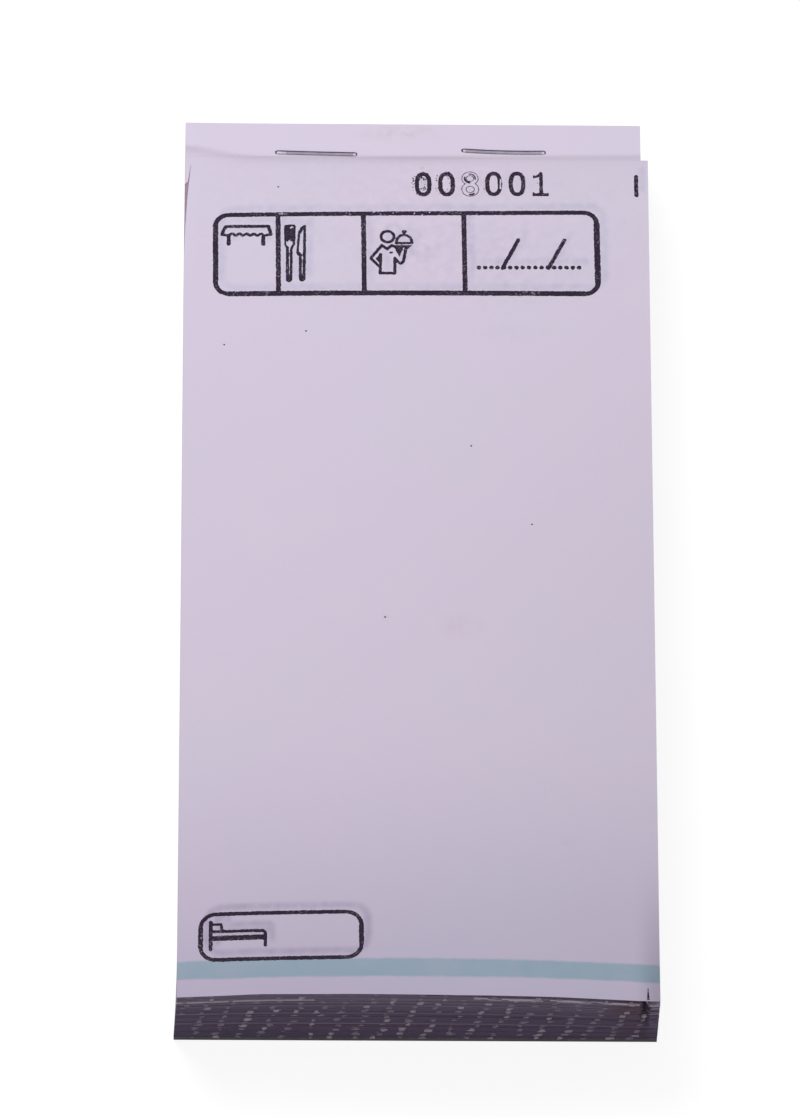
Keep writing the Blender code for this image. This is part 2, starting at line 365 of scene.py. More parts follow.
def edge_material(name, colour, contrast=0.20, stain=None):
    """Cut ends of sheets, streaked along the sheet. The right end may be stained."""
    material, tree = new_material(name)
    streaks = noise(tree, 240.0, 4.0, 0.65, stretch=(1.0, 1.0, 45.0))
    shade = spread(tree, streaks, 1.0 - contrast, 1.0 + contrast)
    base = (*colour, 1.0)
    if stain:
        axes = axes_in_mm(tree)
        x, height = axes["X"], fitted(tree, axes["Z"], *STAIN_RISE)
        patches = fitted(tree, noise(tree, 130.0), 0.35, 0.6)
        share = product(tree, fitted(tree, x, *STAIN_START), fitted(tree, x, *STAIN_STOP), patches)
        base = mixed(tree, share, base, (*stain, 1.0))
        ragged = spread(tree, noise(tree, 900.0), -SMEAR_RAGGED, SMEAR_RAGGED)
        place = maths(tree, "ADD", x, ragged)
        smear = product(tree, fitted(tree, place, *SMEAR_START),
                        fitted(tree, place, *SMEAR_STOP), height)
        lines = noise(tree, 60.0, 1.0, stretch=(1.0, 1.0, 60.0))
        lined = product(tree, fitted(tree, x, *CORNER_START), height,
                        fitted(tree, lines, 0.42, 0.58, -0.65, 1.1))
        shade = product(tree, shade, maths(tree, "SUBTRACT", 1.0, smear),
                        maths(tree, "ADD", 1.0, lined))
    shades = node(tree, "CombineColor", {0: shade, 1: shade, 2: shade}).outputs[0]
    colour = mixed(tree, 1.0, base, shades, "MULTIPLY")
    roughness = spread(tree, streaks, 0.68, 0.85)
    finish_surface(tree, colour, roughness, 0.2, noise(tree, 4200.0), 0.4, 0.03)
    return material


def card_material():
    """Grey board of mixed fibres with pale and dark specks."""
    material, tree = new_material("grey_board")
    fibres = noise(tree, 900.0, 5.0, 0.7, 0.6, (1.0, 2.2, 6.0))
    clouds = fitted(tree, noise(tree, 70.0, 3.0, 0.6), 0.35, 0.65)
    colour = mixed(tree, clouds, (*CARD_PALER, 1.0), (*CARD_DARKER, 1.0))
    dark = fitted(tree, fibres, 0.40, 0.75, 0.0, 0.7)
    colour = mixed(tree, dark, colour, (*CARD_FIBRE, 1.0))
    pale = fitted(tree, noise(tree, 1500.0, 2.0, 0.5), 0.66, 0.72, 0.0, 0.55)
    colour = mixed(tree, pale, colour, (*CARD_SPECK, 1.0))
    roughness = spread(tree, fibres, 0.78, 0.92)
    finish_surface(tree, colour, roughness, 0.2, fibres, 0.45, 0.06)
    return material


def steel_material(name, bright, dull):
    """Zinc-coated wire with drawing lines along it and dull patches."""
    material, tree = new_material(name)
    lines = noise(tree, 9000.0, 3.0, 0.6, stretch=(0.06, 1.0, 1.0))
    patches = noise(tree, 700.0, 3.0, 0.6)
    colour = mixed(tree, fitted(tree, patches, 0.35, 0.7), (*bright, 1.0), (*dull, 1.0))
    roughness = spread(tree, patches, 0.24, 0.42)
    finish_surface(tree, colour, roughness, 0.5, lines, 0.3, 0.01)
    tree.nodes["Principled BSDF"].inputs["Metallic"].default_value = 1.0
    return material


BAND_TOP = FOLD_Y - 137.6
BAND_FOOT = FOLD_Y - 141.05
BAND_SOFTNESS = 0.50
BAND_RAGGED = 0.2
TEAL = (0.545, 0.825, 0.785)
# Painted shade towards the near end: where it starts and stops, the level the paper falls to, and the
# share of blue it keeps
NEAR_END_SHADE_START = -25.0
NEAR_END_SHADE_STOP = -100.0
NEAR_END_SHADE_LEVEL = 0.70
NEAR_END_SHADE_BLUE = 1.08
# Painted shade by the right edge near the near end: where it starts along the pad, where it starts
# across, and the level the paper falls to
RIGHT_EDGE_SHADE_START = -50.0
RIGHT_EDGE_SHADE_INNER = 31.0
RIGHT_EDGE_SHADE_LEVEL = 0.72
INK_COLOUR, FLECK_COLOUR = (0.034, 0.023, 0.042), (0.42, 0.37, 0.45)
CARD_PALER, CARD_DARKER = (0.225, 0.210, 0.215), (0.185, 0.172, 0.180)
CARD_FIBRE, CARD_SPECK = (0.11, 0.10, 0.105), (0.42, 0.40, 0.40)
RUSSET = (0.20, 0.122, 0.155)
# Stains at the right end, over x or the height: from, to, and the strength at each
STAIN_START, STAIN_STOP = (26.5, 30.0, 0.0, 1.0), (32.5, 33.3, 0.70, 0.0)
STAIN_RISE = (4.0, 12.5, 0.25, 1.0)
SMEAR_START, SMEAR_STOP = (32.3, 32.8, 0.0, 0.75), (33.1, 33.6, 1.0, 0.0)
SMEAR_RAGGED = 0.5
CORNER_START = (33.6, 33.9, 0.0, 1.0)

# Each copy's name for its colour, the paper where it is warmer and cooler, and its edges, coloured
# darker than the paper as painted shade
COPY_LOOKS = {
    "triplicate": ("yellow", (0.74, 0.66, 0.42), (0.72, 0.65, 0.43), (0.40, 0.36, 0.37)),
    "duplicate": ("pink", (0.70, 0.47, 0.58), (0.68, 0.46, 0.58), (0.36, 0.26, 0.36)),
    "original": ("white", (0.696, 0.610, 0.750), (0.678, 0.612, 0.746), (0.40, 0.36, 0.44)),
}
COPIES = tuple(COPY_LOOKS)
SLOTS = [colour + "_paper" for colour, warm, cool, edge in COPY_LOOKS.values()]
PAPERS = [paper_material(colour + "_sheet", warm, cool)
          for colour, warm, cool, edge in COPY_LOOKS.values()]
SIDES = [edge_material(colour + "_edge", edge) for colour, warm, cool, edge in COPY_LOOKS.values()]
MARKED_PAPER = paper_material("white_sheet_marks", *COPY_LOOKS["original"][1:3], tinted=True)
INK = ink_material()
# Painted shade: the cut near ends are coloured far darker than their paper, for the shade that falls
# on them. end_pale is paler than the paper, a painted highlight on the sheets that stand out.
END_TONES = [
    edge_material("end_dark", (0.180, 0.135, 0.225), 0.30, RUSSET),
    edge_material("end_middle", (0.225, 0.168, 0.272), 0.30, RUSSET),
    edge_material("end_light", (0.32, 0.258, 0.37), 0.25, RUSSET),
    edge_material("end_pale", (0.86, 0.77, 0.89), 0.15),
]
NIBS = [
    edge_material("torn_nibs", (0.66, 0.58, 0.68), 0.25),
    edge_material("faint_nibs", (0.43, 0.37, 0.46), 0.25),
]
CARD = card_material()
# Painted reflection: the wire takes three steels: the plain near side, a dark far side and tips for
# the shade and dark surroundings they reflect, and bright bends as a painted highlight
STEELS = [
    steel_material("steel_near_side", (0.40, 0.37, 0.40), (0.31, 0.29, 0.32)),
    steel_material("steel_far_side_painted_shade", (0.10, 0.08, 0.18), (0.065, 0.05, 0.13)),
    steel_material("steel_bends_painted_highlight", (0.68, 0.66, 0.71), (0.52, 0.50, 0.56)),
]


# Sheets

def drift(deviation):
    """A small value for each sheet, alike for neighbours."""
    values = np.convolve(random.normal(0.0, 1.0, SHEET_COUNT + 3), np.ones(4) / 4, "valid")
    return deviation * values / values.std()


END_SHIFT = drift(0.030)
END_SLANT = drift(0.030)
END_TONE = drift(1.0)
LEFT_JITTER = random.normal(0.0, 0.010, SHEET_COUNT)
RIGHT_JITTER = random.normal(0.0, 0.010, SHEET_COUNT)
FAR_JITTER = random.normal(0.0, 0.015, SHEET_COUNT)
PROUD_SHEETS = {130: 0.15, 129: 0.12}
PROUD_RIGHT_END = -8.0
PROUD_PALE_END = -14.0
LINE_SHEETS = (148, 147, 146, 145, 144)
LINE_START = 8.0
LINE_SHIFT = 0.17
LINE_STEP = 0.035
NOTCH_X = 32.9
NOTCH_LOWEST_SHEET = 70
NOTCH_LEAST, NOTCH_GROWTH, NOTCH_REACH = 0.25, 0.75, 0.42
NOTCH_COLUMNS = (32.1, 32.4, 32.6, 32.8, 33.0, 33.2, 33.5, 33.8)
# Width of the edge colour on a sheet's face at its sides, painted shade; the wider strip on the left
# of sheet 148 paints the shadow under the torn corner of the top leaf
BORDER = 0.45
TORN_BORDER = 1.15
TOP_COLUMNS = (*np.linspace(-HALF_WIDTH, -22.0, 19), *np.linspace(-20.5, HALF_WIDTH, 37))
LEAF_COLUMNS = (*np.linspace(-HALF_WIDTH, HALF_WIDTH, 15), *NOTCH_COLUMNS)
LINE_COLUMNS = (*np.linspace(-HALF_WIDTH, HALF_WIDTH, 71), *NOTCH_COLUMNS)
FINE_ROWS = (FORM_LENGTH, 143.35, 142.6, 141, 138, 135, 130, 120, 106, 90, 72, 52, 34, 22, 15, 11, 8.5,
             6.8, 5.2, 4.2, 3.2, 2.4, 1.8, 1.4, 1.0, 0.7, 0.4, 0.2, HALF_GAP)
COARSE_ROWS = (FORM_LENGTH, 143.35, 141, 135, 122, 95, 65, 35, 14, 5, HALF_GAP)
TOP_ROWS = (*np.arange(FORM_LENGTH, 12.0, -1.75), *np.arange(11.0, 3.0, -0.6),
            *np.arange(3.0, 0.1, -0.2), HALF_GAP)
FINE_STUB_ROWS = (-HALF_GAP, -0.2, -0.4, -0.6, -0.8, -1.0, -1.2, -1.4, -1.6, -1.8, -2.0, -2.2,
                  -2.6, -3.2, -4.2, -5.3, -STUB_LENGTH)
COARSE_STUB_ROWS = (-HALF_GAP, -STUB_LENGTH)
STUB_SLANT = 0.26
NEAR_END_REACH = 5.0
SPLAY_START = 135.0
TOP_SPLAY, CARD_SPLAY = 0.40, -0.05


def set_of(sheet):
    return SET_COUNT - sheet // len(COPIES)


def name_of(sheet):
    return f"set_{set_of(sheet):02d}_{COPIES[sheet % len(COPIES)]}"


def left_inset(v, sheet):
    """How far a sheet's left edge stands in from the pad's nominal edge."""
    along = np.interp(v, (-6.0, 18.0, 60.0, 94.0, 142.0), (0.17, 0.16, 0.27, 0.35, 0.40))
    splayed = CARD_SPLAY + (TOP_SPLAY - CARD_SPLAY) * sheet / TOP_SHEET
    near_end = np.clip((v - SPLAY_START) / (FORM_LENGTH - SPLAY_START), 0.0, 1.0)
    inset = along + (splayed - along) * near_end
    if sheet == TOP_SHEET:
        torn = np.interp(v, (1.0, 1.4, 6.8, 13.1, 18.4, 26.0), (0.0, 1.06, 0.6, 0.28, 0.18, 0.0))
        inset = np.maximum(inset + 0.02, torn)
    return inset


def lowest_shift(x):
    """How unevenly the card and the lowest sheet are cut at the near end."""
    return -0.085 + 0.155 * x / HALF_WIDTH


def near_shift(x, sheet):
    """How far a sheet's near edge stands in from the pad's nominal edge."""
    highest = np.interp(x, (-35, -29, -23, -17, -9, 20, 27, 32, 35),
                        (0.12, 0.15, 0.27, 0.17, 0.07, -0.03, -0.12, -0.14, -0.08))
    shift = lowest_shift(x) + (highest - lowest_shift(x)) * sheet / TOP_SHEET
    shift = shift + END_SHIFT[sheet] + END_SLANT[sheet] * x / HALF_WIDTH
    proud = PROUD_SHEETS.get(sheet, 0.0)
    shift = shift - proud * np.interp(x, (-35.0, -18.0, PROUD_RIGHT_END), (1.0, 0.8, 0.0))
    if sheet in LINE_SHEETS:
        step = LINE_SHIFT + LINE_STEP * (LINE_SHEETS[0] - sheet)
        shift = shift - step * np.interp(x, (LINE_START - 10.0, LINE_START + 4.0), (0.0, 1.0))
    if sheet >= min(LINE_SHEETS):
        shift = shift - np.interp(x, (-35, -10, -3, 12, 20, 35),
                                  (0.10, 0.10, 0.17, 0.24, 0.15, 0.10))
    return shift


def notch(x, sheet):
    """Ragged bite out of the near end of the upper sheets, close to the right corner."""
    if sheet == TOP_SHEET or sheet < NOTCH_LOWEST_SHEET:
        return 0.0
    share = (sheet - NOTCH_LOWEST_SHEET) / (TOP_SHEET - NOTCH_LOWEST_SHEET)
    centre = NOTCH_X + 0.22 * math.sin(sheet * 0.55)
    depth = NOTCH_LEAST + NOTCH_GROWTH * share + 0.18 * math.sin(sheet * 1.7)
    return depth * np.exp(-((x - centre) / NOTCH_REACH) ** 2)


def leaf_lattice(columns, rows, sheet):
    """Places across and along a leaf, with its own small shifts at the edges."""
    v = np.array(rows, float)[:, None]
    x = np.array(columns, float)[None, :]
    left = -HALF_WIDTH + left_inset(v, sheet) + LEFT_JITTER[sheet]
    right = HALF_WIDTH + RIGHT_JITTER[sheet]
    across = (x + HALF_WIDTH) / (2 * HALF_WIDTH)
    shift = near_shift(x, sheet) + notch(x, sheet)
    near_end = np.clip((v - FORM_LENGTH) / NEAR_END_REACH + 1.0, 0.0, 1.0)
    return left + (right - left) * across, FOLD_Y - v + shift * near_end


def stub_lattice(columns, rows, sheet):
    """Places across and along a stub, whose columns run from 0 at its left to 1."""
    v = np.array(rows, float)[:, None]
    across = np.array(columns, float)[None, :]
    left = -HALF_WIDTH + left_inset(v, 0) + LEFT_JITTER[sheet]
    right = STUB_RIGHT + RIGHT_JITTER[sheet]
    far_end = np.clip(-v / STUB_LENGTH, 0.0, 1.0) ** 4
    shift = FAR_JITTER[sheet] - STUB_SLANT * (1.0 - across)
    return left + (right - left) * across, FOLD_Y - v + shift * far_end


SHEET_MATERIALS = PAPERS + END_TONES + SIDES + NIBS
END_DARK, END_MIDDLE, END_LIGHT, END_PALE = 3, 4, 5, 6
SIDE_KIND = 7
NIB_KIND = 10
# The near end grows paler from the card up, and two limits split its tone into three
TONE_SHEETS = (0, 30, 80, 108, 128)
TONE_RISE = (-2.5, -0.4, 0.2, 1.6, 4.0)
DARK_LIMIT, MIDDLE_LIMIT = 0.0, 1.3


def end_kinds(x, sheet):
    """Tone of the near end of a sheet, place by place."""
    tone = END_TONE[sheet] + np.interp(sheet, TONE_SHEETS, TONE_RISE)
    kind = END_DARK if tone < DARK_LIMIT else END_MIDDLE if tone < MIDDLE_LIMIT else END_LIGHT
    # Painted highlight: the sheets that stand out at the near end take the pale end, paler than their
    # paper, where light catches them
    if sheet in PROUD_SHEETS:
        return np.where(x < PROUD_PALE_END, END_PALE, kind)
    if sheet in LINE_SHEETS:
        is_whole = np.sin(1.9 * x + sheet) + np.sin(0.83 * x + 2.0) > -0.7
        return np.where((x > LINE_START) & is_whole, END_PALE, kind)
    return np.full(x.shape, kind)


def add_sheet(parts, lattice, sheet, has_borders=False):
    x, y = np.broadcast_arrays(*lattice)
    low = sheet_floor(x, y, sheet)
    kind = sheet % len(COPIES)
    ends = end_kinds((x[0, :-1] + x[0, 1:]) / 2, sheet)
    borders = None
    if has_borders:
        # Painted shade: the near strip of sheet 148, under the lifted top leaf, takes a dark end tone,
        # and the other sheets' near strips their own end tone
        borders = END_LIGHT if sheet == LINE_SHEETS[0] else ends
    add_slab(parts, x, y, low, low + SHEET_THICKNESS, kind, ends, SIDE_KIND + kind, borders)


def add_leaf(parts, sheet):
    if sheet == TOP_SHEET:
        add_sheet(parts, leaf_lattice(TOP_COLUMNS, TOP_ROWS, sheet), sheet)
        add_torn_corner(parts)
        return
    columns = LINE_COLUMNS if sheet in LINE_SHEETS else LEAF_COLUMNS
    left_border = TORN_BORDER if sheet == TOP_SHEET - 1 else BORDER
    columns = sorted([*columns, left_border - HALF_WIDTH, HALF_WIDTH - BORDER])
    rows = FINE_ROWS if TOP_SHEET - sheet < RAISED_SHEETS else COARSE_ROWS
    add_sheet(parts, leaf_lattice(columns, rows, sheet), sheet, True)
    add_nibs(parts, sheet)


def add_torn_corner(parts):
    """Sliver of the top leaf that the tear left beside its upper left corner."""
    v = np.array((4.9, 4.5, 3.4, 2.4, 1.4, 1.0))[:, None]
    inner = np.array((0.22, 0.6, 0.77, 0.89, 1.04, 0.22))[:, None]
    outer = left_inset(v, 0) + 0.02
    across = np.array((0.0, 0.5, 1.0))[None, :]
    add_sheet(parts, (outer + (inner - outer) * across - HALF_WIDTH, FOLD_Y - v), TOP_SHEET)


def add_stub(parts, sheet):
    if TOP_SHEET - sheet < RAISED_SHEETS:
        add_sheet(parts, stub_lattice(np.linspace(0, 1, 51), FINE_STUB_ROWS, sheet), sheet)
    else:
        add_sheet(parts, stub_lattice((0.0, 1.0), COARSE_STUB_ROWS, sheet), sheet)


NIB_PITCH = 3.35
NIB_ROW_SHEETS = 15
NIB_LEAN = 0.30
NIB_ROWS = 11
NIB_SHARE = 0.90
NIB_STRAYS = 0.075
NIB_BRIGHT = 0.76
NIB_SLIDE = 0.9
NIB_MARGIN = 0.8
NIB_HALF_WIDTH, NIB_WIDENING = 0.28, 0.34
NIB_LENGTH, NIB_LENGTHENING = 0.05, 0.08
NIB_CHANCES = random.random((NIB_ROWS, 22, 5))


def add_nibs(parts, sheet):
    """Torn fibres left at the sheet's near end, in loose rows that lean over the stack."""
    row, place = divmod(sheet + 6, NIB_ROW_SHEETS)
    start = -HALF_WIDTH - NIB_SLIDE + (NIB_LEAN * row) % NIB_PITCH
    for number, (chance, slide, width, first, bright) in enumerate(NIB_CHANCES[row]):
        x = start + number * NIB_PITCH + NIB_SLIDE * (slide - 0.5)
        step = place - 7.0 * first
        jitter, trim, stray = random.random(3)
        is_seen = chance < NIB_SHARE and 0.0 <= step < 4.0 + 2.5 * bright
        if not (is_seen or stray < NIB_STRAYS) or abs(x) > HALF_WIDTH - NIB_MARGIN:
            continue
        half = (NIB_HALF_WIDTH + NIB_WIDENING * width) * (1.0 - 0.60 * trim)
        if not is_seen:
            half *= 0.8
        x += 0.36 * (jitter - 0.5) + 0.03 * step * is_seen
        xs = np.array([[x - half, x + half]] * 2)
        end = near_shift(x, sheet) - HALF_LENGTH
        tip = end - NIB_LENGTH - NIB_LENGTHENING * bright
        ys = np.array([[tip] * 2, [end + 0.25] * 2])
        low = sheet_floor(xs, ys, sheet) + HALF_GAP
        high = low + sheet_pitch(xs, ys) - 2 * HALF_GAP
        kind = NIB_KIND if is_seen and bright > NIB_BRIGHT else NIB_KIND + 1
        add_slab(parts, xs, ys, low, high, kind, kind, kind)


def make_stack():
    """Every sheet of the pad, gathered by the node that it stands for."""
    node_body = {name: body for body, names in frame["record"]["behaviour"]["bodies"].items()
                 for name in names}
    groups = []
    for first in range(0, BLOCK_COUNT * BLOCK_SHEETS, BLOCK_SHEETS):
        sheets = range(first, first + BLOCK_SHEETS)
        name = f"sets_{set_of(sheets[-1]):02d}_to_{set_of(first):02d}"
        if first < BACK_BLOCKS * BLOCK_SHEETS:
            groups.append((name, sheets, "paper_blocks", [add_leaf, add_stub]))
        else:
            groups.append((name + "_leaves", sheets, "paper_blocks", [add_leaf]))
            groups.append((name + "_stubs", sheets, "paper_blocks", [add_stub]))
    for sheet in range(BLOCK_COUNT * BLOCK_SHEETS, SHEET_COUNT):
        name, slot = name_of(sheet), SLOTS[sheet % len(COPIES)]
        groups.append((name + "_leaf", [sheet], slot, [add_leaf]))
        groups.append((name + "_stub", [sheet], slot, [add_stub]))
    for name, sheets, slot, steps in groups:
        parts = Parts()
        for add in steps:
            for sheet in sheets:
                add(parts, sheet)
        parts.piece(name + "_sheets", SHEET_MATERIALS, node_body[name], [name])


# Printed marks

class Field:
    """Distance in millimetres from the printed marks, over a lattice on the form."""

    def __init__(self, low_u, low_v, high_u, high_v, cell):
        self.u = np.arange(low_u, high_u + cell, cell)
        self.v = np.arange(low_v, high_v + cell, cell)
        self.grid_u, self.grid_v = np.meshgrid(self.u, self.v)
        self.distance = np.full(self.grid_u.shape, FAR)
        self.shift = np.zeros(2)
        self.pivot, self.tilt = np.zeros(2), 0.0

    def blank(self):
        copy = Field(0, 0, 0, 0, 1)
        copy.__dict__.update(self.__dict__)
        copy.distance = np.full(self.grid_u.shape, FAR)
        return copy

    def placed(self, points):
        """Points after the tilt and shift of this part of the print."""
        away = np.asarray(points, float) - self.pivot
        turn = np.array([[math.cos(self.tilt), math.sin(self.tilt)],
                         [-math.sin(self.tilt), math.cos(self.tilt)]])
        return away @ turn.T + self.pivot + self.shift

    def window(self, points, reach):
        low, high = points.min(0) - reach, points.max(0) + reach
        columns = slice(*np.searchsorted(self.u, (low[0], high[0])))
        rows = slice(*np.searchsorted(self.v, (low[1], high[1])))
        return rows, columns

    def merge(self, window, distance):
        self.distance[window] = np.minimum(self.distance[window], distance)

    def line(self, points, width, closed=False):
        points = self.placed(points)
        if closed:
            points = np.vstack([points, points[:1]])
        for start, end in zip(points, points[1:]):
            window = self.window(np.array([start, end]), width / 2 + REACH)
            self.merge(window, self.to_segment(window, start, end) - width / 2)

    def to_segment(self, window, start, end):
        u, v = self.grid_u[window] - start[0], self.grid_v[window] - start[1]
        run = end - start
        along = np.clip((u * run[0] + v * run[1]) / max(run @ run, 1e-9), 0.0, 1.0)
        return np.hypot(u - along * run[0], v - along * run[1])

    def area(self, points, is_cut=False):
        """Fill an outline, or clear it."""
        points = self.placed(points)
        window = self.window(points, REACH)
        u, v = self.grid_u[window], self.grid_v[window]
        gap, inside = np.full(u.shape, FAR), np.zeros(u.shape, bool)
        for start, end in zip(points, np.roll(points, -1, 0)):
            gap = np.minimum(gap, self.to_segment(window, start, end))
            if start[1] != end[1]:
                crosses = (v < start[1]) != (v < end[1])
                at = start[0] + (v - start[1]) * (end[0] - start[0]) / (end[1] - start[1])
                inside ^= crosses & (u < at)
        gap = np.where(inside, -gap, gap)
        if is_cut:
            self.distance[window] = np.maximum(self.distance[window], -gap)
        else:
            self.merge(window, gap)


def oval(centre_u, centre_v, radius_u, radius_v, start=0.0, end=360.0, power=2.0, steps=30):
    angles = np.radians(np.linspace(start, end, steps + 1))
    across, down = np.cos(angles), np.sin(angles)
    return [(centre_u + radius_u * math.copysign(abs(a) ** (2 / power), a),
             centre_v + radius_v * math.copysign(abs(d) ** (2 / power), d))
            for a, d in zip(across, down)]


def rounded_frame(low_u, low_v, high_u, high_v, radius):
    points = []
    for u, v, start in ((high_u, high_v, 0), (low_u, high_v, 90), (low_u, low_v, 180),
                        (high_u, low_v, 270)):
        centre_u = u - radius if u == high_u else u + radius
        centre_v = v - radius if v == high_v else v + radius
        points += oval(centre_u, centre_v, radius, radius, start, start + 90, steps=8)
    return points


DIGIT_PITCH = 3.54
DIGIT_STROKE = 0.66
DIGIT_TILT = math.radians(0.95)
DIGIT_LINES = {
    "0": [oval(1.35, 2.1, 0.95, 1.85, power=2.5)],
    "2": [oval(1.3, 1.3, 0.95, 1.0, 190, 380) + [(0.3, 4.1), (2.35, 4.1), (2.35, 3.65)]],
    "3": [oval(1.2, 1.2, 0.85, 0.95, 200, 450), oval(1.2, 3.15, 1.0, 0.95, 270, 520)],
    "5": [[(2.15, 0.3), (0.5, 0.3), (0.4, 2.05)], oval(1.2, 2.85, 1.05, 1.25, 225, 510)],
    "8": [oval(1.35, 1.1, 0.9, 0.85), oval(1.35, 3.05, 0.95, 0.9)],
}
DIGIT_AREAS = {
    "1": [(0.25, 0.6), (0.6, 0.65), (1.0, 0.45), (1.35, -0.1), (1.7, 0.15), (1.7, 3.75),
          (2.1, 3.8), (2.55, 3.7), (2.55, 4.3), (0.1, 4.3), (0.1, 3.5), (0.6, 3.8),
          (1.15, 3.75), (1.15, 0.9), (0.8, 1.0), (0.25, 1.15)],
}


def draw_digits(field, text, skipped=()):
    """The set's number, one digit after the other."""
    for place, digit in enumerate(text):
        if place in skipped:
            continue
        corner = np.array([NUMBER_LEFT + place * DIGIT_PITCH, NUMBER_TOP])
        for line in DIGIT_LINES.get(digit, ()):
            field.line(corner + line, DIGIT_STROKE)
        if digit in DIGIT_AREAS:
            field.area(corner + DIGIT_AREAS[digit])


def draw_frame(field):
    """Frame at the head of the form, whose upper side runs a little askew."""
    left, right, top, foot, radius = 4.9, 62.2, 9.85, 24.15, 2.0
    corners = np.array(rounded_frame(left, top, right, foot, radius))
    corners[:, 1] -= 0.0086 * (corners[:, 0] - 36.0) * (corners[:, 1] < (top + foot) / 2)
    field.line(corners, 0.75, True)
    field.line([(left, top + radius), (left, foot - radius)], 0.82)
    field.line([(right, top + radius), (right, foot - radius)], 0.92)
    field.line([(left + radius, foot), (right - radius, foot)], 0.88)
    for u in (14.3, 27.15, 42.25):
        field.line([(u, top + 0.3), (u, foot)], 0.75)


def draw_table(field):
    """Table with a scalloped cloth."""
    field.line([(5.85, 13.9), (6.0, 13.3), (6.4, 12.45), (12.8, 12.4), (13.0, 13.1),
                (13.15, 13.75)], 0.54)
    hem = [(u, 13.9 - 0.16 * math.cos((u - 7.35) * 2 * math.pi / 1.09))
           for u in np.linspace(6.7, 12.35, 46)]
    field.line([(5.85, 13.9), *hem, (13.15, 13.85)], 0.46)
    for u in (6.85, 12.05):
        field.line([(u, 14.1), (u, 15.6)], 0.6)


def draw_cutlery(field):
    """Fork and knife, side by side."""
    field.area([(15.15, 12.3), (15.3, 12.1), (16.7, 12.05), (16.9, 12.3), (16.9, 14.75),
                (16.8, 15.6), (16.45, 16.4), *oval(15.95, 21.85, 0.5, 0.55, 0, 180, steps=9),
                (15.45, 16.4), (15.2, 15.6)])
    field.area([(15.45, 15.6), (15.5, 15.1), (15.75, 15.15), (15.95, 14.8), (16.2, 15.15),
                (16.45, 15.05), (16.45, 15.5), (16.15, 16.05), (16.05, 16.45), (16.05, 20.9),
                (15.95, 20.9), (15.9, 16.45), (15.85, 16.05)], is_cut=True)
    field.area([(18.45, 12.2), (18.2, 12.1), (17.65, 12.55), (17.3, 13.25), (17.15, 14.15),
                (17.1, 15.65), (17.0, 17.0), (17.1, 17.45), (17.4, 17.75),
                *oval(17.9, 21.7, 0.5, 0.55, 180, 0, steps=9), (18.45, 17.85)])
    field.area([(18.05, 12.9), (17.6, 13.7), (17.45, 15.35), (17.4, 16.9), (17.6, 17.05),
                (17.85, 17.4), (17.85, 20.9), (17.95, 20.9), (18.0, 17.1)], is_cut=True)


def draw_waiter(field):
    """Standing figure with a covered dish."""
    line = 0.48
    field.line(oval(30.7, 14.1, 0.97, 1.0), line)
    field.line([(29.85, 15.65), (28.25, 17.9), (28.25, 18.1), (29.55, 19.5)], line)
    field.area([(29.7, 17.1), (28.9, 18.05), (29.35, 18.7), (29.75, 19.25)])
    field.line([(29.65, 17.3), (29.6, 20.65), (31.8, 20.65), (31.8, 17.95)], line)
    field.line([(29.85, 15.65), (30.65, 16.35), (31.3, 15.65), (31.6, 15.8)], line)
    field.area([(31.45, 15.6), (34.4, 15.6), (34.3, 15.75), (33.75, 16.3), (33.45, 16.5),
                (33.25, 16.0), (33.05, 16.05), (32.5, 17.7), (31.65, 16.0)])
    field.line([(33.45, 16.3), (33.25, 17.6), (33.05, 18.55), (32.7, 18.9), (32.4, 18.75),
                (31.8, 17.95)], line)
    field.line(oval(33.2, 15.1, 1.15, 1.35, 180, 360, steps=16), 0.45)
    field.line([(32.0, 15.25), (34.45, 15.2)], 0.42)
    field.line([(33.05, 13.15), (33.35, 13.15)], 0.5)
    field.line([(33.2, 13.2), (33.2, 13.6)], 0.48)
    field.line([(31.15, 16.95), (31.35, 16.95)], 0.38)


def draw_date(field):
    """Dotted line with two strokes through it."""
    for u, v in zip(np.linspace(44.4, 59.45, 17), np.linspace(19.45, 19.2, 17)):
        field.line([(u, v), (u + 0.01, v)], 0.7)
    field.line([(47.95, 19.5), (50.35, 14.4)], 0.6)
    field.line([(54.85, 19.4), (57.3, 14.3)], 0.6)


def draw_bed(field):
    """Bed seen from the side, in the frame at the foot of the form."""
    left, right, top, foot, radius = 3.75, 26.95, 130.25, 137.7, 2.2
    field.line(rounded_frame(left, top, right, foot, radius), 0.62, True)
    for u in (left, right):
        field.line([(u, top + radius), (u, foot - radius)], 0.72)
    field.line([(5.2, 131.55), (5.2, 135.95)], 0.56)
    field.line([(5.45, 131.95), (6.7, 131.95), (6.85, 132.95)], 0.42)
    field.line([(5.45, 133.1), (12.7, 133.1), (13.1, 133.4), (13.1, 135.55)], 0.48)
    field.line([(5.45, 134.2), (12.8, 134.15)], 0.82)


def draw_form(field, number, skipped=()):
    """Everything that is printed on one sheet."""
    field.pivot, field.tilt = HEADER_PIVOT, HEADER_TILT
    draw_frame(field)
    field.tilt = 0.0
    draw_table(field)
    draw_cutlery(field)
    draw_waiter(field)
    draw_date(field)
    field.line([(68.2, 2.85), (68.2, 6.15)], 0.62)
    field.pivot, field.tilt = NUMBER_PIVOT, DIGIT_TILT
    draw_digits(field, number, skipped)
    field.pivot, field.tilt = BED_PIVOT, BED_TILT
    draw_bed(field)
    field.tilt = 0.0


HEADER_PIVOT, HEADER_TILT = np.array([33.5, 17.0]), math.radians(0.64)
BED_PIVOT, BED_TILT = np.array([15.0, 134.0]), math.radians(0.15)
NUMBER_LEFT, NUMBER_TOP = 34.72, 2.32
NUMBER_PIVOT = np.array([45.0, 4.5])
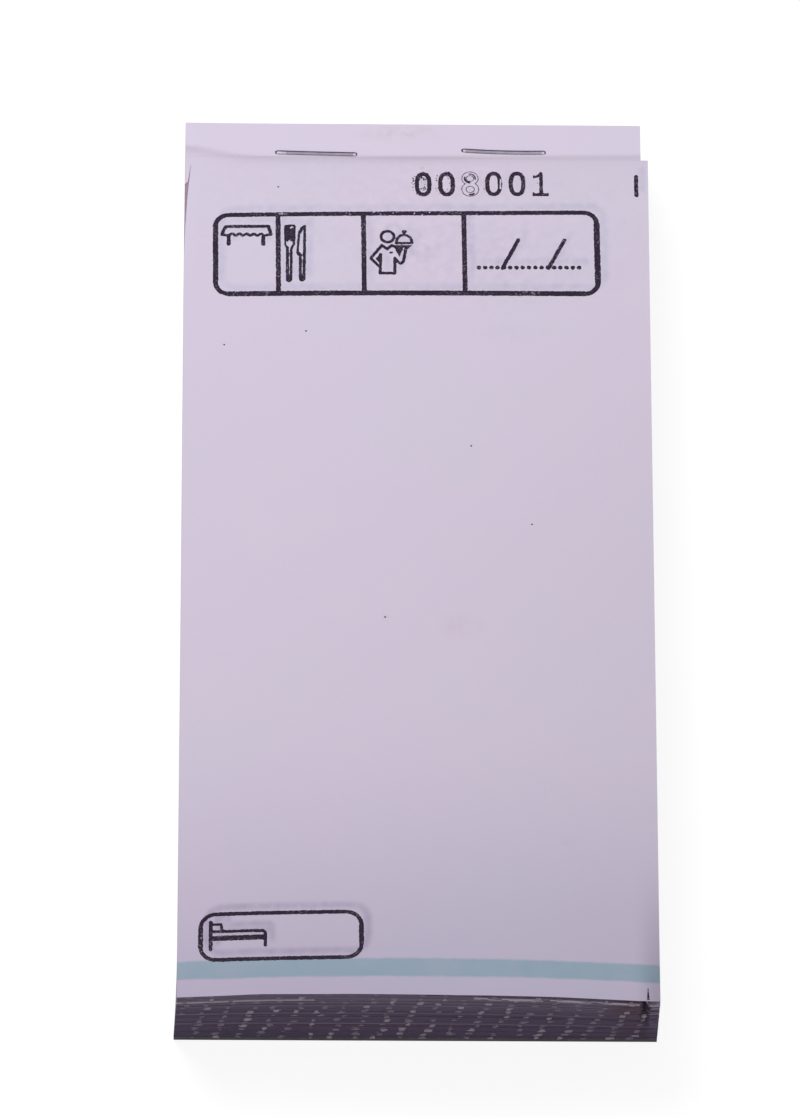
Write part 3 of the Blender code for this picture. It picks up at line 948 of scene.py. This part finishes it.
# The place of the digit that took hardly any ink on the top sheet
WORN_PLACE = 2
WORN_AREA = (41.2, 1.6, 45.2, 7.4)
WORN_CELL, WORN_EDGE = 0.05, 0.055
SCRATCH = [(47.65, 3.5), (47.85, 3.5), (47.8, 5.3), (47.6, 5.3)]
# The second strike of the number, whose specks thin out to the right
STRIKE_SHIFT = np.array([-0.30, -0.10])
STRIKE_START, STRIKE_REACH = 38.0, 8.0
SPECK_SIZE = 0.14
FADED = (
    # u, v, half width, half height, how strongly a speck must stand out to be bare
    (16.35, 12.65, 0.42, 0.26, 0.35),
    (14.9, 10.0, 0.80, 0.30, 1.15),
    (36.0, 9.8, 9.0, 0.50, 1.75),
)
SMUDGES = (
    # u, v, half width, half height
    (35.95, 3.70, 0.36, 0.60),
    (36.10, 5.40, 0.42, 0.30),
    (34.55, 3.90, 0.20, 0.90),
    (38.00, 5.20, 0.35, 0.22),
)
HEADER_AREA = (3.0, 1.2, 69.4, 26.6)
FOOT_AREA = (2.0, 128.4, 28.6, 139.8)


def soft_noise(shape, rounds, generator):
    """Random lattice values around 0 that vary over a few cells."""
    values = generator.normal(0.0, 1.0, shape)
    for _ in range(rounds):
        values = (values + np.roll(values, 1, 0) + np.roll(values, 1, 1)
                  + np.roll(values, (1, 1), (0, 1))) / 4
    return values / values.std()


def add_layer(parts, field, sheet, height, tints=None):
    """A thin closed layer on a sheet wherever the field is below zero."""
    gap = field.distance
    inside = gap < 0
    lattice = np.dstack([field.grid_u, field.grid_v] + ([] if tints is None else [tints]))
    crossed_along, crossed_down = np.zeros_like(inside), np.zeros_like(inside)
    crossed_along[:, :-1] = inside[:, :-1] != inside[:, 1:]
    crossed_down[:-1] = inside[:-1] != inside[1:]
    corner, along, down = np.full((3, *gap.shape), -1)
    values, size = [lattice[inside]], inside.sum()
    corner[inside] = np.arange(size)
    for number, mask, step in ((along, crossed_along, (0, 1)), (down, crossed_down, (1, 0))):
        first = np.nonzero(mask)
        second = (first[0] + step[0], first[1] + step[1])
        share = (gap[first] / (gap[first] - gap[second]))[:, None]
        values.append(lattice[first] + share * (lattice[second] - lattice[first]))
        number[mask] = size + np.arange(len(share))
        size += len(share)
    values = np.concatenate(values)
    ring = [corner[:-1, :-1], along[:-1, :-1], corner[:-1, 1:], down[:-1, 1:],
            corner[1:, 1:], along[1:, :-1], corner[1:, :-1], down[:-1, :-1]]
    corners_in = [inside[:-1, :-1], inside[:-1, 1:], inside[1:, 1:], inside[1:, :-1]]
    code = sum(part.astype(int) << place for place, part in enumerate(corners_in))
    faces = []
    for case in range(1, 16):
        cells = code == case
        if not cells.any():
            continue
        full = [case >> place & 1 for place in range(4)]
        used = []
        for place in range(4):
            if full[place]:
                used.append(2 * place)
            if full[place] != full[(place + 1) % 4]:
                used.append(2 * place + 1)
        numbers = np.stack([ring[place][cells] for place in used], 1)
        faces += numbers[:, ::-1].tolist() + (numbers + size).tolist()
        for place, (first, second) in enumerate(zip(used, used[1:] + used[:1])):
            if first % 2 and second % 2:
                start, end = numbers[:, place], numbers[:, (place + 1) % len(used)]
                wall = np.stack([start, end, end + size, start + size], 1)
                faces += wall.tolist()
    x, y = values[:, 0] - HALF_WIDTH, FOLD_Y - values[:, 1]
    top = sheet_floor(x, y, sheet) + SHEET_THICKNESS
    points = [np.stack([x, y, top + level], 1) for level in (height, -LAYER_DEPTH)]
    point_tints = None if tints is None else np.tile(values[:, 2:], (2, 1))
    parts.add(np.concatenate(points), faces, [0] * len(faces), point_tints)


def print_form(sheet, body, cell, height, is_worn=False):
    """The form's ink on one sheet."""
    number = f"{FIRST_NUMBER + set_of(sheet) - 1:06d}"
    parts = Parts()
    generator = np.random.default_rng(7 + sheet)
    for area in (HEADER_AREA, FOOT_AREA):
        field = Field(*area, cell)
        draw_form(field, number, skipped=[WORN_PLACE] if is_worn else ())
        if is_worn and area is HEADER_AREA:
            wear_number(field, number, generator)
        field.distance += INK_ROUGHNESS * soft_noise(field.distance.shape, 2, generator)
        add_layer(parts, field, sheet, height)
    if is_worn:
        add_layer(parts, worn_digit(number, generator), sheet, height)
    parts.piece(name_of(sheet) + "_print", [INK], body)


def worn_digit(number, generator):
    """The worn digit, which took ink at its edges and in a few dark arcs only."""
    field = Field(*WORN_AREA, WORN_CELL)
    field.pivot, field.tilt = NUMBER_PIVOT, DIGIT_TILT
    draw_digits(field, number, skipped=[place for place in range(6) if place != WORN_PLACE])
    field.distance = np.abs(field.distance) - WORN_EDGE
    u, v = NUMBER_LEFT + WORN_PLACE * DIGIT_PITCH + 1.35, NUMBER_TOP
    field.line(oval(u, v + 1.1, 0.8, 0.75, 95, 195, steps=8), 0.28)
    field.line(oval(u, v + 1.1, 0.8, 0.8, 262, 370, steps=8), 0.2)
    field.line(oval(u, v + 3.05, 0.95, 0.95, 55, 95, steps=5), 0.3)
    field.distance += 0.014 * soft_noise(field.distance.shape, 2, generator)
    return field


def wear_number(field, number, generator):
    """Specks of a second, faint strike beside the number, and smudges in its first digit."""
    speckle = soft_noise(field.distance.shape, 1, generator)
    field.area(SCRATCH, is_cut=True)
    for u, v, half_u, half_v, kept in FADED:
        away = np.hypot((field.grid_u - u) / half_u, (field.grid_v - v) / half_v)
        faded = np.where(away < 1.0, 0.12 * (speckle - kept), -FAR)
        field.distance = np.maximum(field.distance, faded)
    double = field.blank()
    double.shift = STRIKE_SHIFT
    draw_digits(double, number, skipped=[WORN_PLACE])
    to_right = np.clip((field.grid_u - STRIKE_START) / STRIKE_REACH, 0.0, 1.0)
    bare = SPECK_SIZE * (1.0 + 0.9 * to_right - speckle)
    specks = np.maximum(np.abs(double.distance) - SPECK_SIZE, bare)
    for u, v, half_u, half_v in SMUDGES:
        away = np.hypot((field.grid_u - u) / half_u, (field.grid_v - v) / half_v)
        smudge = np.maximum(0.4 * (away - 1.0), SPECK_SIZE * (0.45 - speckle))
        specks = np.minimum(specks, smudge)
    field.distance = np.minimum(field.distance, specks)


def make_print():
    print_form(TOP_SHEET, name_of(TOP_SHEET), PRINT_CELL, TOP_INK_HEIGHT, is_worn=True)
    for sheet in (148, 147, 146, 145, 144, *SECTION_TOPS):
        body = SECTION_TOPS.get(sheet, name_of(sheet))
        print_form(sheet, body, LOWER_PRINT_CELL, LOWER_INK_HEIGHT)


PRINT_CELL, LOWER_PRINT_CELL = 0.10, 0.15
INK_ROUGHNESS = 0.022
# The top sheet of each section, with its body
SECTION_TOPS = {143: "front_section", 107: "middle_section", 53: "bound_pad"}

# The next sheet's print as it shows through
GHOST_SHIFT = (0.95, -1.15)
GHOST_STRENGTH, GHOST_SOFTNESS = 0.85, 0.60
GHOST_MEAN, GHOST_CONTRAST, GHOST_LEAST = 0.75, 0.12, 0.3
GHOST_TINT = (0.87, 0.90, 0.93)
GHOST_TINT_AT_FOOT = (0.77, 0.76, 0.80)
STAIN_REACH, STAIN_MEAN, STAIN_CONTRAST = 1.15, 0.55, 0.3
STAINS = (
    # u, v, half width, half height, tint
    (32.5, -4.6, 7.0, 2.0, (0.90, 0.92, 0.88)),
    (36.0, 4.4, 1.5, 2.4, (0.84, 0.84, 0.85)),
    (46.0, 4.3, 11.5, 2.6, (0.945, 0.95, 0.95)),
    (48.0, 19.0, 18.0, 8.0, (0.955, 0.955, 0.97)),
    (35.0, 10.0, 42.0, 17.0, (0.95, 0.955, 0.955)),
    (41.3, 82.0, 3.5, 2.2, (0.96, 0.93, 0.93)),
    (30.4, 80.8, 0.9, 0.5, (0.90, 0.89, 0.91)),
    (56.9, 117.8, 1.3, 1.0, (0.91, 0.91, 0.98)),
    (36.8, 16.6, 3.0, 2.3, (0.90, 0.91, 0.92)),
    (48.0, 30.5, 7.0, 2.4, (0.975, 0.975, 0.985)),
)
SPECKS = ((43.08, 51.06), (14.20, 5.27), (18.5, 31.0), (30.3, 80.8), (52.0, 64.5), (6.3, 33.4))


def film_tints(field, stains, has_ghost):
    """Colour by which each lattice point darkens the paper."""
    generator = np.random.default_rng(5)
    blotches = soft_noise(field.distance.shape, 3, generator)
    tints = np.ones((*field.distance.shape, 3))
    if has_ghost:
        seen = field.blank()
        seen.shift = np.array(GHOST_SHIFT)
        draw_form(seen, "")
        share = np.clip(GHOST_STRENGTH - seen.distance / GHOST_SOFTNESS, 0.0, 1.0)
        share = share * np.clip(GHOST_MEAN + GHOST_CONTRAST * blotches, GHOST_LEAST, 1.0)
        is_at_foot = (field.grid_v > FORM_LENGTH / 2)[..., None]
        tint = np.where(is_at_foot, GHOST_TINT_AT_FOOT, GHOST_TINT)
        tints *= 1.0 - share[..., None] * (1.0 - tint)
    for u, v, half_u, half_v, tint in stains:
        away = np.hypot((field.grid_u - u) / half_u, (field.grid_v - v) / half_v)
        share = np.clip(STAIN_REACH - away, 0.0, 1.0)
        share = share * np.clip(STAIN_MEAN + STAIN_CONTRAST * blotches, 0.0, 1.2)
        tints *= 1.0 - np.clip(share, 0.0, 1.0)[..., None] * (1.0 - np.array(tint))
    return tints


def film(name, area, body, stains, has_ghost):
    """A film of paper over the top sheet, with its stains and what shows through."""
    parts = Parts()
    field = Field(*area, FILM_CELL)
    tints = film_tints(field, stains, has_ghost)
    change = 1.0 - tints.min(-1)
    field.distance = LEAST_CHANGE - change
    for border in (np.s_[0], np.s_[-1], np.s_[:, 0], np.s_[:, -1]):
        field.distance[border] = np.maximum(field.distance[border], 0.01)
    add_layer(parts, field, TOP_SHEET, MARK_HEIGHT, tints)
    parts.piece(name, [MARKED_PAPER], body)


LEAST_CHANGE = 0.004
FILM_CELL = 0.32
LEAF_FILM_AREA = (1.6, 0.3, 69.6, 142.8)
STUB_FILM_AREA = (1.0, -6.0, 68.6, -0.4)
SPECK_AREA = (1.0, 1.0, 69.0, 143.76)
SPECK_CELL = 0.08
SPECK_WIDTH = 0.23
# Painted shadow: a dark ink wedge on the top leaf over the notch, for the shade of the slit there
NOTCH_SHADOW_MARK = [(68.04, 143.9), (68.44, 143.9), (68.24, 141.2)]


def make_marks():
    film("top_leaf_marks", LEAF_FILM_AREA, "set_01_original", STAINS[1:], True)
    film("top_stub_marks", STUB_FILM_AREA, "bound_pad", STAINS[:1], False)
    parts = Parts()
    field = Field(*SPECK_AREA, SPECK_CELL)
    for u, v in SPECKS:
        field.line([(u, v), (u + 0.06, v + 0.03)], SPECK_WIDTH)
    # Painted shadow of the slit over the notch, drawn in ink
    field.area(NOTCH_SHADOW_MARK)
    field.distance[-1] = FAR
    add_layer(parts, field, TOP_SHEET, TOP_INK_HEIGHT)
    parts.piece("top_leaf_specks_and_notch_shadow", [INK], "set_01_original")


# Back card

CARD_CUTS = (60.0, 35.0, 9.0, -20.0, -45.0, -64.0, -66.3, -70.0, -73.0)


def make_card():
    """The card with its holes and grooves, trimmed as unevenly as the sheets on it."""
    cad_card = frame["nodes"]["back_card"]
    mesh = cad_card.data.copy()
    mesh.transform(cad_card.matrix_world)
    shape = bmesh.new()
    shape.from_mesh(mesh)
    for y in CARD_CUTS:
        bmesh.ops.bisect_plane(shape, geom=[*shape.verts, *shape.edges, *shape.faces],
                               plane_co=(0.0, y * MM, 0.0), plane_no=(0.0, 1.0, 0.0))
    for vertex in shape.verts:
        x, y = vertex.co.x / MM, vertex.co.y / MM
        if x < 0.1 - HALF_WIDTH:
            vertex.co.x += MM * float(left_inset(FOLD_Y - y, 0))
        if y < 0.1 - HALF_LENGTH:
            vertex.co.y += MM * lowest_shift(x)
    shape.to_mesh(mesh)
    shape.free()
    mesh.materials.clear()
    mesh.materials.append(CARD)
    card = new_object("back_card_board", mesh)
    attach(card, "bound_pad")
    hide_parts("back_card")


# Staples

WIRE_HALF_WIDTH = 0.31
WIRE_HALF_THICKNESS = 0.23
WIRE_SUNK = 0.22
WIRE_SIDES = 16
WIRE_SQUARENESS = 2.8
BEND_RADIUS = 0.62
BEND_END = 0.64
# Length of the painted dark tips of the crown
TIP_LENGTH = 0.62
STAPLES = (
    # node, x, y, width of the crown, bow towards the fold, slant, lengths of the painted highlight at
    # the ends
    ("staple_left", -15.07, 69.31, 12.95, 0.03, -0.018, (2.0, 1.0)),
    ("staple_right", 13.23, 69.97, 13.3, 0.17, -0.020, (1.0, 1.0)),
)


def bent_path(corners, radius, steps):
    """Points along straight runs joined by arcs, in the plane of x and z."""
    path = [corners[0]]
    for before, corner, after in zip(corners, corners[1:], corners[2:]):
        incoming = (corner - before) / np.linalg.norm(corner - before)
        outgoing = (after - corner) / np.linalg.norm(after - corner)
        centre = corner - incoming * radius + outgoing * radius
        for step in range(steps + 1):
            angle = math.pi / 2 * step / steps
            path.append(centre - outgoing * radius * math.cos(angle)
                        + incoming * radius * math.sin(angle))
    path.append(corners[-1])
    return np.array(path)


def make_staple(node_name, x, y, crown, bow, slant, bright):
    """Flattened wire: crown, two legs and their folded ends under the card."""
    stub_top = PAPER_BASE + TOP_SHEET * (SHEET_THICKNESS + AIR_AT_STAPLES) + SHEET_THICKNESS
    crown_places = np.linspace(x - crown / 2, x + crown / 2, 9)
    raised = stub_top + ridge(crown_places, y - WIRE_HALF_WIDTH).max()
    crown_z = raised - WIRE_SUNK + WIRE_HALF_THICKNESS
    clinch_z = CROWN_GAP + WIRE_RADIUS
    leg, tip = crown / 2 - WIRE_RADIUS, crown / 2 - CLINCH_LENGTH
    corners = np.array([(-tip, clinch_z), (-leg, clinch_z), (-leg, crown_z), (0.0, crown_z)])
    bends = bent_path(corners, BEND_RADIUS, 7)[:-1]
    straight = np.linspace((BEND_END - leg, crown_z), (leg - BEND_END, crown_z), 23)[1:-1]
    path = np.vstack([bends, straight, bends[::-1] * (-1, 1)])
    sides = WIRE_SIDES
    angles = np.arange(sides) * 2 * math.pi / sides
    power = 2 / WIRE_SQUARENESS
    wide = WIRE_HALF_WIDTH * np.sign(np.cos(angles)) * np.abs(np.cos(angles)) ** power
    thick = WIRE_HALF_THICKNESS * np.sign(np.sin(angles)) * np.abs(np.sin(angles)) ** power
    points = []
    for place, (px, pz) in enumerate(path):
        before, after = path[max(place - 1, 0)], path[min(place + 1, len(path) - 1)]
        run_x, run_z = (after - before) / np.linalg.norm(after - before)
        scale = 0.55 if place in (0, len(path) - 1) else 1.0
        sag = -bow * max(1.0 - (px / leg) ** 2, 0.0) + slant * px
        for across, up in zip(wide * scale, thick * scale):
            points.append((x + px - run_z * up, y + sag + across, pz + run_x * up))
    faces, kinds = [], []
    for place in range(len(path) - 1):
        middle = path[place:place + 2, 0].mean()
        from_end = crown / 2 - abs(middle)
        for side in range(sides):
            other = (side + 1) % sides
            faces.append([place * sides + side, place * sides + other,
                          (place + 1) * sides + other, (place + 1) * sides + side])
            # Painted shade and highlight: the far side and the tips take the dark steel, the wire just
            # inside the tips the bright one
            is_painted_dark = side < 4 or side >= sides - 2 or from_end < TIP_LENGTH
            kinds.append(1 if is_painted_dark else 2 if from_end < bright[int(middle > 0)] else 0)
    faces.append(list(range(sides))[::-1])
    faces.append([(len(path) - 1) * sides + side for side in range(sides)])
    parts = Parts()
    parts.add(points, faces, kinds + [1, 1])
    parts.piece(node_name + "_wire", STEELS, "bound_pad", [node_name])


# Room, light and camera

def make_floor():
    """Pale floor. The camera sees it near white with the pad's shadow on it."""
    mesh = bpy.data.meshes.new("floor")
    corners = [(-1, -1), (1, -1), (1, 1), (-1, 1)]
    mesh.from_pydata([(x * FLOOR_REACH, y * FLOOR_REACH, FLOOR_HEIGHT) for x, y in corners],
                     [], [(0, 1, 2, 3)])
    new_object("floor", mesh)
    material, tree = new_material("pale_floor")
    tree.nodes.remove(tree.nodes["Principled BSDF"])
    seen = node(tree, "AddShader")
    lit = node(tree, "BsdfDiffuse", {"Color": grey(FLOOR_SEEN_LIT)})
    glow = node(tree, "Emission", {"Color": grey(1.0), "Strength": FLOOR_SEEN_GLOW})
    tree.links.new(lit.outputs[0], seen.inputs[0])
    tree.links.new(glow.outputs[0], seen.inputs[1])
    plain = node(tree, "BsdfDiffuse", {"Color": grey(FLOOR_ALBEDO)})
    both = node(tree, "MixShader", {0: seen_directly(tree)})
    tree.links.new(plain.outputs[0], both.inputs[1])
    tree.links.new(seen.outputs[0], both.inputs[2])
    tree.links.new(both.outputs[0], tree.nodes["Material Output"].inputs["Surface"])
    mesh.materials.append(material)


def seen_directly(tree):
    """1 for rays from the camera and for those by which metal shows the room."""
    path = node(tree, "LightPath")
    direct = maths(tree, "MAXIMUM", path.outputs["Is Camera Ray"], path.outputs["Is Glossy Ray"])
    return maths(tree, "MAXIMUM", direct, path.outputs["Is Transmission Ray"])


def make_world():
    world = bpy.data.worlds.new("studio")
    world.use_nodes = True
    bpy.context.scene.world = world
    tree = world.node_tree
    background = tree.nodes["Background"]
    background.inputs["Color"].default_value = grey(1.0)
    strength = fitted(tree, seen_directly(tree), 0.0, 1.0, WORLD_FILL, 1.0)
    tree.links.new(strength, background.inputs["Strength"])


def make_key_lamp():
    lamp = bpy.data.lights.new("key_lamp", "AREA")
    lamp.shape, lamp.size, lamp.energy = "SQUARE", KEY_SIZE, KEY_POWER
    made = new_object("key_lamp", lamp)
    made.location = KEY_PLACE
    aim = Vector(KEY_TARGET) - Vector(KEY_PLACE)
    made.rotation_euler = aim.to_track_quat("-Z", "Y").to_euler()
    made.visible_glossy = False


def make_camera():
    forward = Vector((math.sin(CAMERA_YAW) * math.cos(CAMERA_ELEVATION),
                      math.cos(CAMERA_YAW) * math.cos(CAMERA_ELEVATION),
                      -math.sin(CAMERA_ELEVATION)))
    level = forward.cross(Vector((0.0, 0.0, 1.0))).normalized()
    above = level.cross(forward)
    right = level * math.cos(CAMERA_ROLL) + above * math.sin(CAMERA_ROLL)
    up = above * math.cos(CAMERA_ROLL) - level * math.sin(CAMERA_ROLL)
    data = bpy.data.cameras.new("photo_camera")
    data.sensor_width = SENSOR_WIDTH
    data.lens = FOCAL_PIXELS * SENSOR_WIDTH / IMAGE_HEIGHT
    data.clip_start, data.clip_end = 0.05, 20.0
    camera = new_object("photo_camera", data)
    turn = Matrix((right, up, -forward)).transposed()
    place = (Vector(CAMERA_TARGET) - forward * CAMERA_DISTANCE) * MM
    camera.matrix_world = Matrix.Translation(place) @ turn.to_4x4()
    bpy.context.scene.camera = camera


# The room's sizes and places are in metres
WORLD_FILL = 0.34
FLOOR_REACH = 4.0
FLOOR_HEIGHT = -0.00003
FLOOR_ALBEDO = 0.40
FLOOR_SEEN_LIT = 0.18
FLOOR_SEEN_GLOW = 0.895
KEY_PLACE = (-0.28, 0.52, 0.60)
KEY_TARGET = (0.0, 0.0, 0.01)
KEY_SIZE = 0.50
KEY_POWER = 6.0


make_camera()
make_world()
make_floor()
make_key_lamp()
make_stack()
make_print()
make_marks()
make_card()
for staple in STAPLES:
    make_staple(*staple)

bpy.context.scene.view_settings.view_transform = "Standard"
